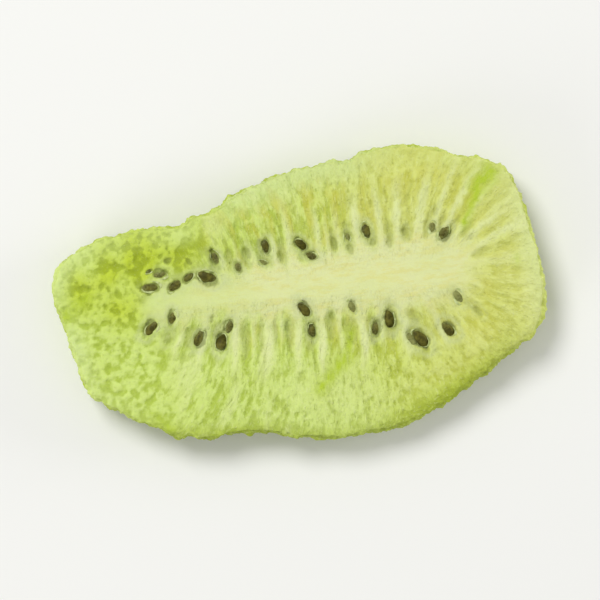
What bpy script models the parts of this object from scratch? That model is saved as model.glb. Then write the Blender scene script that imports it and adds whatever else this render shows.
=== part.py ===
"""Freeze-dried kiwi slice: one lengthwise cut through a peeled kiwi, dried to a light, puffed crisp.

The slice is one solid. Its core lies along X and the cut face that shows is up. It rests at z = 0 on the
flat middle of its underside, and the origin is on that flat, below the middle of the slice.
The working sizes are in millimetres and become metres when the points are written.
"""

import math

import bmesh
import bpy
import numpy as np
from mathutils import Vector

NAME = "kiwi_slice"
COLLECTION = "freeze_dried_kiwi_slice"
METRES = 0.001

# Outline seen from above, anticlockwise from the tip of the right end. The short steps are where the
# peeler's flats meet, and the small bumps are where the edge has frayed.
OUTLINE = (
    (27.9, -2.8), (27.7, 1.6), (26.9, 6.6), (25.8, 11.0), (23.8, 13.2), (20.2, 14.1), (18.6, 14.9),
    (15.6, 15.9), (12.2, 16.3), (9.6, 16.0), (8.4, 15.6), (7.1, 15.0), (5.8, 15.4), (3.4, 15.1),
    (0.6, 14.9), (-2.3, 14.2), (-4.4, 13.5), (-6.5, 12.8), (-7.9, 11.8), (-9.2, 11.2), (-10.9, 11.2),
    (-12.6, 10.3), (-15.0, 10.3), (-17.4, 10.4), (-20.1, 9.9), (-22.6, 9.6), (-26.2, 7.8),
    (-27.9, 4.4), (-27.3, 1.4), (-27.2, 0.4), (-26.6, -1.9), (-25.7, -5.4), (-24.8, -8.2),
    (-20.2, -11.4), (-17.8, -12.5), (-16.4, -13.7), (-14.4, -14.0), (-12.8, -14.4), (-9.0, -14.3),
    (-5.2, -14.7), (-1.6, -15.7), (3.4, -16.2), (8.8, -15.9), (13.2, -14.7), (18.0, -12.3),
    (23.2, -8.9), (26.6, -6.4),
)
SPLINE_STEPS = 12
HALF_LENGTH = 27.9

# Heights of the cut face and of the slow bend of the whole slice, and the curl of the underside
THICKNESS = 5.6
WEDGE = 0.35
END_LIFT = 0.35
SIDE_SAG = 0.35
END_CURL = 0.75
SIDE_CURL = 0.35
CURL_START = 0.56

# Core: a blunt bar of paler flesh that tapers to the left
CORE_LEFT = -15.8
CORE_RIGHT = 16.4
CORE_Y = 1.6
CORE_HALF_WIDTH_LEFT = 1.2
CORE_HALF_WIDTH_RIGHT = 3.1
CORE_CROWN = 0.1
CORE_INNER_EDGE = -2.0
CORE_OUTER_EDGE = 1.5

# Hollow ring where the seeds sit, lost towards the left end, and the puffed flesh outside it
HOLLOW_DEPTH = 0.24
HOLLOW_FROM_CORE = 3.0
HOLLOW_SPREAD = 2.6
HOLLOW_GONE = -19.0
HOLLOW_FULL = -11.0
PUFF_HEIGHT = 0.2
PUFF_INSIDE_EDGE = 4.2
PUFF_SPREAD = 2.6

# Rounded edge: narrow almost all round, and a broad shoulder at the lower right
SHOULDER = 0.95
BROAD_SHOULDER = 3.2
BROAD_SHOULDER_ANGLE = math.radians(-40)
BROAD_SHOULDER_SPREAD = math.radians(27)
BROAD_SHOULDER_DROP = 0.8
DROP_START = 0.55
FOOT_INSET = 1.4
EDGE_SQUARENESS = 0.6

# Steps of the surface: round the outline, and from the middle of the top to the middle of the underside
RAYS = 120
FACE_RINGS = 16
RIM_RINGS = 8
FOOT_RINGS = 10
RINGS = FACE_RINGS + RIM_RINGS + FOOT_RINGS

FLESH_COLOR = (0.52, 0.68, 0.17, 1.0)
FLESH_ROUGHNESS = 0.9


def smooth_step(low, high, value):
    """Rise smoothly from 0 at low to 1 at high."""
    share = min(max((value - low) / (high - low), 0.0), 1.0)
    return share * share * (3.0 - 2.0 * share)


def bell(distance, spread):
    """A bump of height 1 that fades over spread."""
    return math.exp(-(distance / spread) ** 2)


def closed_spline(points, steps):
    """Catmull-Rom points through a closed outline."""
    knots = np.array(points)
    before = np.roll(knots, 1, axis=0)
    after = np.roll(knots, -1, axis=0)
    beyond = np.roll(knots, -2, axis=0)
    curve = []
    for share in np.arange(steps) / steps:
        linear = (after - before) * share
        square = (2.0 * before - 5.0 * knots + 4.0 * after - beyond) * share**2
        cube = (3.0 * (knots - after) + beyond - before) * share**3
        curve.append(knots + 0.5 * (linear + square + cube))
    return np.stack(curve, axis=1).reshape(-1, 2)


def outline_table():
    """Angles and radii of the outline about the origin, sorted by angle."""
    curve = closed_spline(OUTLINE, SPLINE_STEPS)
    angles = np.arctan2(curve[:, 1], curve[:, 0])
    order = np.argsort(angles)
    return angles[order], np.hypot(curve[:, 0], curve[:, 1])[order]


OUTLINE_ANGLES, OUTLINE_RADII = outline_table()


def outline_radius(angle):
    return float(np.interp(angle, OUTLINE_ANGLES, OUTLINE_RADII, period=2.0 * math.pi))


def shoulder_share(angle):
    """How much of the broad shoulder is present in this direction."""
    return bell(angle - BROAD_SHOULDER_ANGLE, BROAD_SHOULDER_SPREAD)


def shoulder_width(angle):
    return SHOULDER + BROAD_SHOULDER * shoulder_share(angle)


def distance_from_core(x, y):
    """Distance outside the core's edge, negative inside it."""
    nearest = min(max(x, CORE_LEFT), CORE_RIGHT)
    along = (nearest - CORE_LEFT) / (CORE_RIGHT - CORE_LEFT)
    half_width = CORE_HALF_WIDTH_LEFT + (CORE_HALF_WIDTH_RIGHT - CORE_HALF_WIDTH_LEFT) * along
    return math.hypot(x - nearest, y - CORE_Y) - half_width


def warp(x, y, edge):
    """The slow bend of the whole slice: ends lifted, long sides let down, right end thicker."""
    ends = END_LIFT * (x / edge) ** 2
    sides = SIDE_SAG * smooth_step(0.0, 1.0, abs(y) / edge)
    return ends - sides + WEDGE * x / HALF_LENGTH


def face_height(x, y, angle):
    """Height of the cut face: crowned core, hollow seed ring, puffed border and sloping shoulder."""
    edge = outline_radius(angle)
    reach = math.hypot(x, y)
    outside_core = distance_from_core(x, y)
    core = CORE_CROWN * (1.0 - smooth_step(CORE_INNER_EDGE, CORE_OUTER_EDGE, outside_core))
    hollow = HOLLOW_DEPTH * bell(outside_core - HOLLOW_FROM_CORE, HOLLOW_SPREAD)
    hollow *= smooth_step(HOLLOW_GONE, HOLLOW_FULL, x)
    puff = PUFF_HEIGHT * bell(edge - reach - PUFF_INSIDE_EDGE, PUFF_SPREAD)
    drop = BROAD_SHOULDER_DROP * shoulder_share(angle) * smooth_step(DROP_START, 1.0, reach / edge)
    return THICKNESS + warp(x, y, edge) + core - hollow + puff - drop


def foot_height(angle, share):
    """Height of the underside: flat in the middle, curling up towards the edge and most at the ends."""
    curl = SIDE_CURL + (END_CURL - SIDE_CURL) * math.cos(angle) ** 2
    return curl * smooth_step(CURL_START, 1.0, share)


def face_point(angle, share):
    reach = share * (outline_radius(angle) - shoulder_width(angle))
    x = reach * math.cos(angle)
    y = reach * math.sin(angle)
    return Vector((x, y, face_height(x, y, angle)))


def foot_point(angle, share):
    reach = share * (outline_radius(angle) - FOOT_INSET)
    return Vector((reach * math.cos(angle), reach * math.sin(angle), foot_height(angle, share)))


def rim_point(angle, share):
    """Round the edge from the cut face to the underside, squarer than a half circle."""
    turn = math.pi * share
    top = face_point(angle, 1.0)
    foot = foot_point(angle, 1.0)
    inset = shoulder_width(angle) if share < 0.5 else FOOT_INSET
    reach = outline_radius(angle) - inset * (1.0 - abs(math.sin(turn)) ** EDGE_SQUARENESS)
    rise = math.copysign(abs(math.cos(turn)) ** EDGE_SQUARENESS, math.cos(turn))
    height = foot.z + (top.z - foot.z) * 0.5 * (1.0 + rise)
    return Vector((reach * math.cos(angle), reach * math.sin(angle), height))


def slice_point(direction):
    """Where a point of the unit sphere goes on the slice."""
    angle = math.atan2(direction.y, direction.x)
    ring = round(math.acos(min(max(direction.z, -1.0), 1.0)) / math.pi * RINGS)
    if ring <= FACE_RINGS:
        return face_point(angle, ring / FACE_RINGS)
    if ring <= FACE_RINGS + RIM_RINGS:
        return rim_point(angle, (ring - FACE_RINGS) / RIM_RINGS)
    return foot_point(angle, (RINGS - ring) / FOOT_RINGS)


def centre_on_origin(shape):
    """Put the middle of the slice's length and width over the origin."""
    for axis in (0, 1):
        places = [vertex.co[axis] for vertex in shape.verts]
        middle = 0.5 * (min(places) + max(places))
        for vertex in shape.verts:
            vertex.co[axis] -= middle


def slice_mesh():
    """A sphere drawn out into the slice, one ring and one ray at a time."""
    shape = bmesh.new()
    bmesh.ops.create_uvsphere(shape, u_segments=RAYS, v_segments=RINGS, radius=1.0)
    for vertex in shape.verts:
        vertex.co = slice_point(vertex.co) * METRES
    centre_on_origin(shape)
    bmesh.ops.recalc_face_normals(shape, faces=shape.faces)
    mesh = bpy.data.meshes.new(NAME)
    shape.to_mesh(mesh)
    shape.free()
    return mesh


def flesh_material():
    material = bpy.data.materials.new("flesh")
    material.use_nodes = True
    shader = material.node_tree.nodes["Principled BSDF"]
    shader.inputs["Base Color"].default_value = FLESH_COLOR
    shader.inputs["Roughness"].default_value = FLESH_ROUGHNESS
    shader.inputs["Metallic"].default_value = 0.0
    return material


def clear_scene():
    for thing in list(bpy.data.objects):
        bpy.data.objects.remove(thing, do_unlink=True)


def build():
    clear_scene()
    collection = bpy.data.collections.new(COLLECTION)
    bpy.context.scene.collection.children.link(collection)
    mesh = slice_mesh()
    mesh.materials.append(flesh_material())
    mesh.shade_smooth()
    collection.objects.link(bpy.data.objects.new(NAME, mesh))


build()
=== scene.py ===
import math
import random
from types import SimpleNamespace

import bmesh
import bpy
import numpy as np
from mathutils import Matrix, Vector, noise
from mathutils.bvhtree import BVHTree
from mathutils.kdtree import KDTree


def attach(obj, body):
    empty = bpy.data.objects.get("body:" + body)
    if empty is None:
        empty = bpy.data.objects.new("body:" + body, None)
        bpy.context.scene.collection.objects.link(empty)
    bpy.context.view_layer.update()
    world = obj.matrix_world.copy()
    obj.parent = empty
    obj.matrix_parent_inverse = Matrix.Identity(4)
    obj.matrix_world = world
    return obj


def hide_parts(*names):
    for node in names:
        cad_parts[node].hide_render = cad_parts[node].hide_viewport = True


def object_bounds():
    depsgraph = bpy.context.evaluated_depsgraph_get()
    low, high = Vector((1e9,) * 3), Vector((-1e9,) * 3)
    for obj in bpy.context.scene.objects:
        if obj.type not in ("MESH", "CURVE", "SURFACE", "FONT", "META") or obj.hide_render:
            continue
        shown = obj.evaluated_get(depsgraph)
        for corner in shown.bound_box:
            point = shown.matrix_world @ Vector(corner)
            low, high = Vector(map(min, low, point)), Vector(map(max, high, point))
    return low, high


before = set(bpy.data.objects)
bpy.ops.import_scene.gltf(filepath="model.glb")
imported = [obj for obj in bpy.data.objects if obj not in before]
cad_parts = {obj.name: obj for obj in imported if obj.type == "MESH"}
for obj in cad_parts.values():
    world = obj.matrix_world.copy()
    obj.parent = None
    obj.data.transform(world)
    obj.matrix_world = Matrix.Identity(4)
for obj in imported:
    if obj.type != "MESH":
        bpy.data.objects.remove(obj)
cad_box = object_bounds()

# A freeze-dried kiwi slice. Working sizes are in millimetres in the frame of the CAD solid: X runs along the
# core, Y across the slice and Z up out of the cut face. METRES turns them into the scene's metres.
METRES = 0.001
NODE = "kiwi_slice"

# The core, as in the CAD solid: a blunt bar of paler flesh that tapers to the left.
CORE_LEFT = -15.8
CORE_RIGHT = 16.4
CORE_Y = 1.6
CORE_HALF_WIDTH_LEFT = 1.2
CORE_HALF_WIDTH_RIGHT = 3.1

# Rays leave the core square to it at RAY_MIDDLE and fan out towards both ends, like hyperbolas with
# their foci at the two ends of the fruit's axis. Stations are measured on the ellipse STATION_REACH out.
RAY_MIDDLE = 10.0
RAY_FOCUS_LEFT = -16.8
RAY_FOCUS_RIGHT = 19.0
STATION_REACH = 4.0
STATION_STEPS = 1440

# Noise drawn out along the rays is this much finer where they spread.
TIGHTER = 2.3

# Every noise is moved to its own place by its seed, and raised to about -1 to 1.
NOISE_SHIFT = np.array((17.3, 5.7, 11.9))
NOISE_GAIN = 1.6

# Flesh mesh
VOXEL = 0.199
MERGE_DISTANCE = 1e-7
SOFTENING = 0.5
SOFTENING_PASSES = 4
LIMIT_BAND = 0.35


# ---------------- fields over the slice


def smooth_step(low, high, value):
    """0 up to low, 1 from high on and smooth between them."""
    share = np.clip((value - low) / (high - low), 0.0, 1.0)
    return share * share * (3.0 - 2.0 * share)


def bell(distance, spread):
    """1 in the middle, and about a third at a distance of spread."""
    return np.exp(-((distance / spread) ** 2))


def noise_at(points, scale, seed):
    """Smooth noise of about -1 to 1, with features of about 1/scale millimetres."""
    shifted = np.asarray(points) * scale + seed * NOISE_SHIFT
    return np.array([noise.noise(place) for place in shifted.tolist()]) * NOISE_GAIN


def layered(points, layers):
    """Sum of several noises, each given as its strength, scale and seed."""
    return sum(strength * noise_at(points, scale, seed) for strength, scale, seed in layers)


def blend(weights, layers):
    """Sum of the named layers, each times its weight."""
    return sum(weight * layers[name] for name, weight in weights.items())


def patch(x, y, middle_x, middle_y, stretch, spread):
    """A soft oval patch: 1 in its middle, and stretch times as long as it is wide."""
    return bell(np.hypot((x - middle_x) / stretch, y - middle_y), spread)


def half_spans(x):
    """Distance from the middle ray to the focus on the same side."""
    return np.where(x < RAY_MIDDLE, RAY_MIDDLE - RAY_FOCUS_LEFT, RAY_FOCUS_RIGHT - RAY_MIDDLE)


def ray_angle(x, y):
    """Elliptic angle about the core's axis: the same all along one ray."""
    plane = ((x - RAY_MIDDLE) + 1j * (y - CORE_Y)) / half_spans(x)
    return np.arccosh(plane.astype(complex)).imag


def station_table():
    """Lengths along the ellipse STATION_REACH out from the core's axis, by ray angle."""
    angles = np.linspace(-math.pi, math.pi, STATION_STEPS + 1)
    half_span = half_spans(RAY_MIDDLE + np.cos(angles))
    x = np.hypot(half_span, STATION_REACH) * np.cos(angles)
    y = STATION_REACH * np.sin(angles)
    lengths = np.hypot(np.diff(x), np.diff(y))
    return angles, np.concatenate(([0.0], np.cumsum(lengths)))


RAY_ANGLES, RAY_STATIONS = station_table()
RING_LENGTH = float(RAY_STATIONS[-1])


def station_at(x, y):
    """Place round the core, in millimetres, that stays the same all along one ray."""
    return np.interp(ray_angle(np.asarray(x, float), np.asarray(y, float)), RAY_ANGLES, RAY_STATIONS)


def ray_spread(x, y):
    """How much wider apart the rays are here than on the ellipse that the stations are measured on."""
    spans = half_spans(x)
    turn = np.arccosh((((x - RAY_MIDDLE) + 1j * (y - CORE_Y)) / spans).astype(complex))
    return np.abs(np.sinh(turn)) / np.hypot(STATION_REACH / spans, np.sin(turn.imag))


def around(difference):
    """Difference of two stations, the short way round the ring."""
    return (difference + 0.5 * RING_LENGTH) % RING_LENGTH - 0.5 * RING_LENGTH


def ray_direction(x, y):
    """Unit vector in the cut face that points outwards along the ray through a point."""
    plane = complex(x - RAY_MIDDLE, y - CORE_Y) / float(half_spans(x))
    outward = complex(np.sinh(np.arccosh(plane)))
    return Vector((outward.real, outward.imag, 0.0)).normalized()


def core_half_width(x):
    share = (np.clip(x, CORE_LEFT, CORE_RIGHT) - CORE_LEFT) / (CORE_RIGHT - CORE_LEFT)
    return CORE_HALF_WIDTH_LEFT + (CORE_HALF_WIDTH_RIGHT - CORE_HALF_WIDTH_LEFT) * share


def outside_core(x, y):
    """Distance outside the core's edge, negative inside it."""
    return np.hypot(x - np.clip(x, CORE_LEFT, CORE_RIGHT), y - CORE_Y) - core_half_width(x)


# ---------------- seeds


# Seeds of the upper cut face: x, y, length, how deep it sits from 0 to 1, and lean off its ray in degrees.
# Deeper than HIDDEN_SEED, only the hollow over the seed shows.
SEEDS = (
    (-16.6, 3.5, 2.1, 0.48, 50), (-15.3, 4.7, 1.7, 0.62, 60), (-13.9, 3.3, 1.9, 0.38, -75),
    (-16.6, 5.4, 1.0, 0.75, 60), (-14.3, 6.4, 1.3, 0.88, 70),
    (-12.3, 4.1, 1.6, 0.48, -70), (-10.1, 3.9, 2.4, 0.30, 62), (-12.0, 5.8, 1.2, 0.90, 20),
    (-8.9, 6.0, 1.8, 0.55, 10), (-6.45, 4.5, 1.4, 0.62, 10), (-5.5, 5.9, 1.7, 0.84, 10),
    (-3.1, 6.4, 1.7, 0.38, 0), (-3.6, 4.7, 1.3, 0.76, 60), (-1.3, 5.1, 1.5, 0.85, 0),
    (0.9, 6.2, 1.8, 0.20, 45), (1.85, 4.75, 1.7, 0.42, 62), (4.4, 5.9, 1.6, 0.85, 0),
    (6.2, 6.4, 1.4, 0.76, 0), (6.5, 5.0, 1.5, 0.85, 10), (8.4, 6.9, 1.8, 0.38, 10),
    (9.2, 5.5, 1.5, 0.85, 0), (11.0, 5.2, 1.5, 0.90, 0), (12.4, 6.2, 1.5, 0.90, 0),
    (15.8, 6.3, 1.5, 0.68, 5), (17.0, 5.5, 1.9, 0.48, -10), (16.4, 8.0, 1.4, 0.90, 0),
    (19.8, 4.9, 1.4, 0.90, 0),
    (-17.1, -1.2, 2.1, 0.30, 5), (-14.5, -0.2, 1.7, 0.45, 0), (-15.2, -2.7, 1.6, 0.85, 0),
    (-11.9, -2.9, 2.0, 0.40, -12), (-10.3, -0.9, 1.2, 0.85, 0), (-9.35, -3.6, 2.1, 0.18, -5),
    (-8.2, -1.95, 1.7, 0.50, -18), (-1.8, -2.9, 1.5, 0.90, 0), (0.3, -1.1, 1.9, 0.18, 35),
    (0.9, -3.5, 1.6, 0.42, 0), (5.7, -1.6, 1.9, 0.72, 20), (8.1, -4.2, 1.9, 0.45, -25),
    (9.7, -3.3, 2.2, 0.15, 5), (13.0, -6.0, 2.4, 0.10, 25), (11.8, -5.8, 2.1, 0.72, 15),
    (16.2, -5.4, 2.1, 0.32, 12), (3.7, -2.3, 1.4, 0.92, 0),
    (17.8, -1.8, 2.0, 0.76, -8), (19.6, -3.9, 1.7, 0.95, -10),
)

# Pale walls between the seed chambers on the upper face: where each leaves the core (x, y), its half
# width, how clear it is from 0 to 1 and how far out it reaches.
SEPTA = (
    (-14.6, 3.4, 0.35, 0.45, 3.5), (-13.0, 3.5, 0.25, 0.40, 3.5), (-11.4, 3.6, 0.40, 0.50, 3.5),
    (-9.9, 3.8, 0.25, 0.45, 4.5), (-7.9, 3.9, 0.40, 0.60, 4.0), (-6.1, 4.0, 0.28, 0.50, 5.0),
    (-4.6, 4.1, 0.40, 0.65, 4.5), (-2.1, 4.2, 0.38, 0.70, 4.5), (-0.2, 4.3, 0.42, 0.75, 6.0),
    (2.9, 4.5, 0.36, 0.65, 7.0), (3.9, 4.5, 0.28, 0.45, 5.5), (5.3, 4.6, 0.36, 0.60, 6.5),
    (7.3, 4.8, 0.50, 1.00, 7.5), (9.9, 4.9, 0.42, 0.90, 8.0), (11.7, 5.0, 0.42, 0.95, 8.5),
    (13.8, 5.2, 0.32, 0.80, 9.0),
    (-15.9, -0.2, 0.35, 0.45, 4.0), (-13.3, -0.6, 0.42, 0.75, 6.0), (-10.9, -0.7, 0.42, 0.80, 6.5),
    (-7.2, -0.9, 0.50, 0.90, 8.0), (-5.3, -1.0, 0.34, 0.60, 6.0), (-3.6, -1.0, 0.75, 1.00, 8.5),
    (-2.2, -1.1, 0.28, 0.55, 5.0), (-0.5, -1.2, 0.45, 0.95, 8.0), (2.1, -1.4, 0.50, 1.00, 8.5),
    (4.2, -1.5, 0.34, 0.70, 6.5), (6.7, -1.6, 0.50, 1.00, 8.5), (8.8, -1.8, 0.34, 1.00, 5.0),
    (11.2, -1.9, 0.45, 0.90, 7.5), (14.4, -2.2, 0.36, 0.75, 7.0),
)

# A seed's width and thickness as shares of its length, the depth from which it doesn't show, and how far its
# pit lies to one side
SEED_WIDTH_SHARE = 0.6
SEED_THICKNESS_SHARE = 0.42
HIDDEN_SEED = 0.78
PIT_SHIFT = 0.14

# Seeds of the underside, placed by rule: how far past the core's ends, how far out of the core and apart in
# millimetres, and their lengths, depths and leans.
UNDER_SEED_DRAW = 41
UNDER_SEED_PAST_ENDS = (1.0, 2.5)
UNDER_SEED_OUT = (0.8, 3.6)
UNDER_SEED_GAP = (0.9, 2.6)
UNDER_SEED_LENGTH = (1.6, 2.2)
UNDER_SEED_DEPTHS = (0.15, 0.3, 0.45, 0.7, 0.85)
UNDER_SEED_LEAN = (-25.0, 25.0)


def scatter(x, y):
    """A number that differs from one seed to the next."""
    return 7.0 * x + y


def lean_direction(x, y, lean):
    """The direction in the cut face that a seed's long axis points."""
    return Matrix.Rotation(math.radians(lean), 3, "Z") @ ray_direction(x, y)


def pits(x, y, ragged, seeds):
    """Hollows that the seeds sit in, 1 under each seed, and the pale ring round each of them.

    Each hollow is ragged and a little to one side of its seed, so that flesh laps over the other side.
    """
    hollow = np.zeros_like(x)
    halo = np.zeros_like(x)
    for seed_x, seed_y, length, depth, lean in seeds:
        out = lean_direction(seed_x, seed_y, lean)
        reach = 0.5 * length * (1.0 - 0.3 * depth)
        aside = PIT_SHIFT * length * (0.5 + depth) * math.sin(scatter(seed_x, seed_y))
        across = ((x - seed_x) * -out.y + (y - seed_y) * out.x - aside) / (SEED_WIDTH_SHARE * reach)
        along = ((x - seed_x) * out.x + (y - seed_y) * out.y) / reach
        strength = 1.0 - 0.5 * float(smooth_step(0.5, 0.9, depth))
        beyond = np.hypot(across, along) + ragged
        hollow = np.maximum(hollow, strength * (1.0 - smooth_step(0.7, 1.65, beyond)))
        halo = np.maximum(halo, strength * bell(beyond - 1.75, 0.5))
    return hollow, halo


def under_seeds():
    """Seeds of the underside, placed by rule in the same ring."""
    draw = random.Random(UNDER_SEED_DRAW)
    before, after = UNDER_SEED_PAST_ENDS
    seeds = []
    for side in (1.0, -1.0):
        x = CORE_LEFT - before
        while x < CORE_RIGHT + after:
            y = CORE_Y + side * (float(core_half_width(x)) + draw.uniform(*UNDER_SEED_OUT))
            depth = draw.choice(UNDER_SEED_DEPTHS)
            seeds.append((x, y, draw.uniform(*UNDER_SEED_LENGTH), depth, draw.uniform(*UNDER_SEED_LEAN)))
            x += draw.uniform(*UNDER_SEED_GAP)
    return tuple(seeds)


UNDER_SEEDS = under_seeds()


# ---------------- walls and chambers


# Fine rays round the right end: where they start and end, gap, half width and reach in millimetres, and how
# clear they are from 0 to 1. The upper ones are broader and clearer.
FAN_DRAW = 7
FAN_FROM = (13.0, 6.0)
FAN_TO = (13.5, -4.5)
FAN_GAP = (0.6, 1.0)
FAN_HALF_WIDTH = (0.16, 0.25)
FAN_REACH = (9.0, 15.0)
FAN_CLEARNESS = (0.55, 0.9)
FAN_UPPER = (0.42, 0.56)
FAN_UPPER_GROWTH = 0.45
FAN_LOWER_SHARE = 0.25

# Walls of the underside, placed by rule and SEPTUM_SEED_GAP clear of its seeds
SEPTUM_DRAW = 8
SEPTUM_GAP = (1.7, 2.8)
SEPTUM_HALF_WIDTH = (0.38, 0.60)
SEPTUM_CLEARNESS = (0.55, 1.0)
SEPTUM_REACH = (5.0, 9.0)
SEPTUM_SEED_GAP = 0.85

# Seed chambers between two walls
CHAMBER_DRAW = 9
CHAMBER_WIDEST = 4.5
CHAMBER_HALF_WIDTH = 0.9
CHAMBER_NARROWEST = 0.3
CHAMBER_CLEARANCE = 0.35
CHAMBER_STARTS = (0.7, 1.5)
CHAMBER_ENDS = (3.8, 6.2)
CHAMBER_UPPER_SHARE = 0.68
CHAMBER_UPPER_SHIFT = 0.9


def upper_walls():
    """Station, half width, clearness and reach of every wall and fan ray on the upper face."""
    walls = [(float(station_at(x, y)), *rest) for x, y, *rest in SEPTA]
    draw = random.Random(FAN_DRAW)
    start = float(station_at(*FAN_TO))
    length = float(station_at(*FAN_FROM)) - start
    station = start
    while station < start + length:
        upper = float(smooth_step(*FAN_UPPER, (station - start) / length))
        growth = 1.0 + FAN_UPPER_GROWTH * upper
        clearness = draw.uniform(*FAN_CLEARNESS) * (FAN_LOWER_SHARE + (1.0 - FAN_LOWER_SHARE) * upper)
        half_width = draw.uniform(*FAN_HALF_WIDTH) * growth
        walls.append((station, half_width, clearness, draw.uniform(*FAN_REACH)))
        station += draw.uniform(*FAN_GAP) * growth
    return walls


def under_walls():
    """The same for the underside, by rule, each kept clear of the seeds."""
    draw = random.Random(SEPTUM_DRAW)
    taken = np.array([float(station_at(x, y)) for x, y, *_ in UNDER_SEEDS])
    walls = []
    station = 0.0
    while station < RING_LENGTH - 0.5 * SEPTUM_GAP[0]:
        off = around(station - taken)
        nearest = off[np.argmin(np.abs(off))]
        clear = station + math.copysign(max(SEPTUM_SEED_GAP - abs(nearest), 0.0), nearest)
        half_width = draw.uniform(*SEPTUM_HALF_WIDTH)
        clearness = draw.uniform(*SEPTUM_CLEARNESS)
        walls.append((clear, half_width, clearness, draw.uniform(*SEPTUM_REACH)))
        station += draw.uniform(*SEPTUM_GAP)
    return walls


def wall_relief(station, outside, walls):
    """How clear the walls are, 0 to 1: flared where they leave the core, then narrower, then lost."""
    relief = np.zeros_like(station)
    for middle, half_width, clearness, reach in walls:
        width = half_width * (1.7 - 0.65 * smooth_step(-0.4, 2.6, outside))
        fade = 1.0 - smooth_step(0.5 * reach, 1.3 * reach, outside)
        relief = np.maximum(relief, clearness * fade * bell(around(station - middle), width))
    return relief


def chamber_relief(station, outside, walls):
    """Depth from 0 to 1 of the seed chambers: lens shaped, each between two walls, closing outwards."""
    draw = random.Random(CHAMBER_DRAW)
    relief = np.zeros_like(station)
    rows = sorted(walls)
    for (left, left_width, *_), (right, right_width, *_) in zip(rows, rows[1:]):
        clearance = CHAMBER_CLEARANCE * (left_width + right_width)
        half = min(0.5 * (right - left) - clearance, CHAMBER_HALF_WIDTH)
        end = draw.uniform(*CHAMBER_ENDS)
        start = draw.uniform(*CHAMBER_STARTS)
        if left > 0.5 * RING_LENGTH:
            end *= CHAMBER_UPPER_SHARE
            start -= CHAMBER_UPPER_SHIFT
        if half < CHAMBER_NARROWEST or right - left > CHAMBER_WIDEST:
            continue
        along = np.clip((outside - start) / (end - start), 0.0, 1.0)
        width = half * np.sqrt(np.sin(math.pi * along**0.7))
        across = np.abs(around(station - 0.5 * (left + right)))
        side = smooth_step(-0.15, 0.35, width - across)
        relief = np.maximum(relief, side * smooth_step(0.0, 0.3, along))
    return relief


# ---------------- flesh


def new_object(name, data):
    thing = bpy.data.objects.new(name, data)
    bpy.context.scene.collection.objects.link(thing)
    return thing


def base_mesh():
    """The CAD solid as an even, fine mesh in millimetres."""
    shape = bmesh.new()
    shape.from_mesh(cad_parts[NODE].data)
    bmesh.ops.remove_doubles(shape, verts=shape.verts, dist=MERGE_DISTANCE)
    bmesh.ops.scale(shape, vec=(1.0 / METRES,) * 3, verts=shape.verts)
    coarse = bpy.data.meshes.new("coarse")
    shape.to_mesh(coarse)
    shape.free()
    piece = new_object("flesh", coarse)
    remesh = piece.modifiers.new("even", "REMESH")
    remesh.mode = "VOXEL"
    remesh.voxel_size = VOXEL
    soften = piece.modifiers.new("soften", "SMOOTH")
    soften.factor = SOFTENING
    soften.iterations = SOFTENING_PASSES
    evaluated = piece.evaluated_get(bpy.context.evaluated_depsgraph_get())
    mesh = bpy.data.meshes.new_from_object(evaluated)
    mesh.name = "flesh"
    piece.modifiers.clear()
    piece.data = mesh
    bpy.data.meshes.remove(coarse)
    return piece


def vectors_of(mesh, name):
    """The places ("co") or normals of a mesh's corners."""
    values = np.empty(len(mesh.vertices) * 3, np.float32)
    mesh.vertices.foreach_get(name, values)
    return values.reshape(-1, 3).astype(float)


def move_to(mesh, places):
    mesh.vertices.foreach_set("co", places.astype(np.float32).ravel())
    mesh.update()


def soft_limit(places, low, high):
    """Ease points that would leave the box back to its sides."""
    for axis in range(3):
        for side, sign in ((high[axis], 1.0), (low[axis], -1.0)):
            over = (places[:, axis] - side) * sign + LIMIT_BAND
            eased = LIMIT_BAND * np.tanh(np.maximum(over, 0.0) / LIMIT_BAND)
            places[:, axis] = np.where(over > 0.0, side + sign * (eased - LIMIT_BAND), places[:, axis])
    return places


def set_field(mesh, name, kind, key, values):
    attribute = mesh.attributes.new(name, kind, "POINT")
    attribute.data.foreach_set(key, values.astype(np.float32).ravel())


# ---------------- parts of the slice


# Ramps: where each begins and is complete, in millimetres along an axis, in from the edge or out of the core.
# "face" goes by the vertical part of the normal, "tip" by how far the rays have spread, and marks by a noise.
RAMPS = {
    "face": (0.35, 0.85), "upper_half": (1.0, 5.0), "far_side": (3.0, 9.0), "right_end": (14.0, 19.0),
    "wide_border": (5.0, 10.0), "lower_side": (-12.0, -6.0), "lower_rim": (-24.0, -16.0), "rim": (0.0, 2.2),
    "off_focus": (0.8, 3.0), "tip": (1.3, 2.2), "outer": (2.0, 6.0), "fan_gaps": (3.0, 6.0),
    "far_flecks": (-12.0, -6.0), "far_flecks_end": (12.0, 17.0),
    "end_flecks": (18.5, 21.5), "end_flecks_top": (2.0, 6.0),
    "dashes": (0.3, 1.0), "dimples": (0.3, 0.9), "flecks": (0.2, 0.8), "thin_dashes": (0.3, 0.8),
    "specks": (0.1, 0.6), "crumbs": (0.1, 0.9), "strips": (0.1, 0.9), "rubbed": (0.0, 0.7),
    "crumbly_rim": (0.0, 1.6), "shoulder_rim": (0.0, 3.6), "shoulder_end": (22.0, 25.5),
    "rind_and_shade_top": (3.2, 4.8), "froth_and_light_wall": (3.6, 4.6), "froth_and_light": (-9.0, -1.0), "froth_and_light_end": (6.0, 14.0),
    "pale_core": (-8.0, 8.0), "strips_far": (0.0, 8.0), "yellow": (-4.0, 20.0), "green_core": (-14.0, 0.0),
    "ochre_band": (-12.0, -4.0), "ochre_far": (-14.0, -4.0), "ridge_out": (4.0, 10.0),
    "into_core": (0.1, 0.85),
}

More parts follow.
